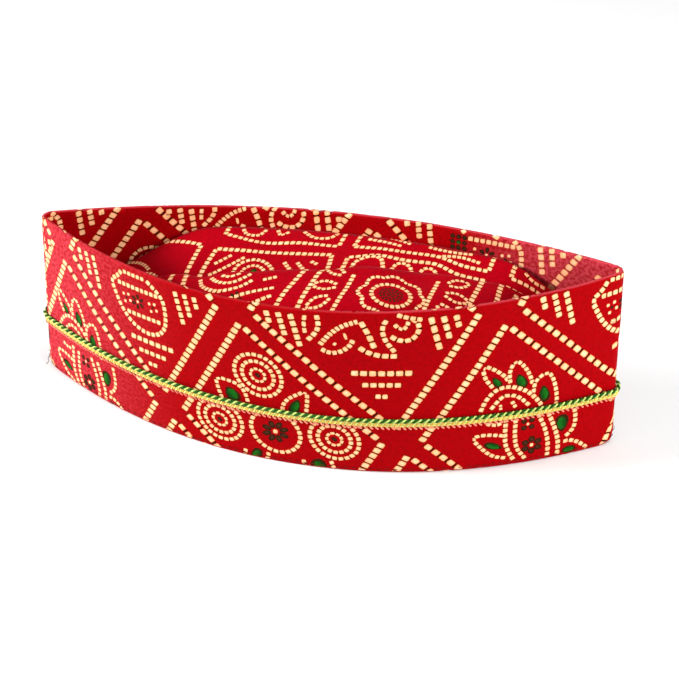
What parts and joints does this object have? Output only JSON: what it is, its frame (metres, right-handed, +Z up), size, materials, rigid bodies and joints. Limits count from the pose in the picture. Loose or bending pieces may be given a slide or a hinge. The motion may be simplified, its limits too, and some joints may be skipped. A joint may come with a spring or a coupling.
{
  "type": "bandhani topi",
  "caption": "Boat-shaped folding cloth cap with a tall stiff cuff, a sunken creased crown, a tie-dye style print and a braid running round the cuff.",
  "frame": {"origin": "on the floor plane under the middle of the cap's bounding box, where the rim rests", "axes": "+X along the cap towards its taller fold, +Y across it towards the flatter side, +Z up from the rim to the cuff's edge"},
  "size_m": [0.2772, 0.0835, 0.0946],
  "materials": {
    "print_cotton": "stiffened printed cotton with a slight sheen, red with cream dashes, green leaves and dark maroon flowers",
    "green_thread": "shiny twisted green thread",
    "gold_thread": "shiny yellow-gold braid"
  },
  "bodies": {
    "root": {"cuff": "print_cotton", "inner_band": "print_cotton", "crown": "print_cotton", "green_cord": "green_thread", "gold_braid": "gold_thread"}
  },
  "joints": []
}
